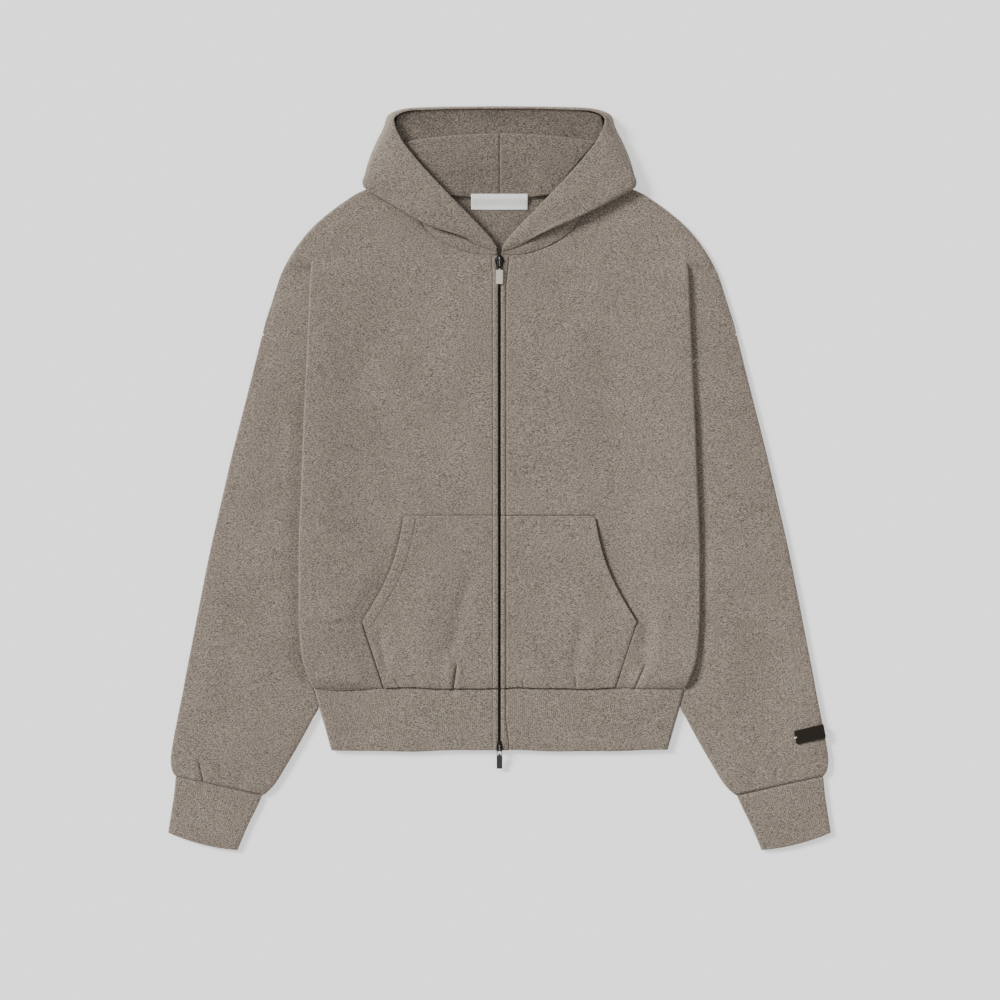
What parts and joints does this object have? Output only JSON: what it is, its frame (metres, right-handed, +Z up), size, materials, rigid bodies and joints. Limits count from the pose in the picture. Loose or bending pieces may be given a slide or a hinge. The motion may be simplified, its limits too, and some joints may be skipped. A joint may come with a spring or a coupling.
{
  "type": "zip up hoodie",
  "caption": "Boxy full-zip hoodie in heavy brushed fleece laid flat on its back, with dropped shoulders, full sleeves, split front pocket, ribbed cuffs and waistband, and an open hood",
  "frame": {"origin": "middle of the laid-out garment, on the surface it lies on", "axes": "+X towards the wearer's left sleeve, +Y towards the hood, +Z up from the surface"},
  "size_m": [0.7816, 0.8783, 0.0206],
  "materials": {
    "fleece": "heathered grey-brown brushed fleece",
    "hood_inside": "inner side of the same fleece, in shade",
    "ribbing": "fine rib knit, same colour",
    "zip_tape": "woven tape",
    "dark_metal": "dark nickel",
    "pale_metal": "pale brushed metal",
    "white_weave": "bare woven label",
    "dark_rubber": "matt, bare"
  },
  "bodies": {
    "hoodie": {"back": "fleece", "front_left": "fleece", "front_right": "fleece", "sleeve_left": "fleece", "sleeve_right": "fleece", "cuff_left": "ribbing", "cuff_right": "ribbing", "waistband": "ribbing", "pocket_left": "fleece", "pocket_right": "fleece", "hood_left": "fleece", "hood_right": "fleece", "hood_lining_left": "hood_inside", "hood_lining_right": "hood_inside", "hood_crown": "hood_inside", "neck_label": "white_weave", "sleeve_label": "dark_rubber", "zip_tape_left": "zip_tape", "zip_tape_right": "zip_tape", "zip_teeth": "dark_metal", "slider_top": "dark_metal", "slider_bottom": "dark_metal"},
    "pull_top": {"pull_top_link": "dark_metal", "pull_top_tab": "pale_metal"},
    "pull_bottom": {"pull_bottom_link": "dark_metal", "pull_bottom_tab": "dark_metal"}
  },
  "joints": [
    {"name": "pull_top_hinge", "type": "hinge", "parent": "hoodie", "child": "pull_top", "pos_m": [0, 0.256, 0.0096], "axis": [-1, 0, 0], "range_deg": [0, 150]},
    {"name": "pull_bottom_hinge", "type": "hinge", "parent": "hoodie", "child": "pull_bottom", "pos_m": [0, -0.3195, 0.0096], "axis": [-1, 0, 0], "range_deg": [0, 150]}
  ]
}
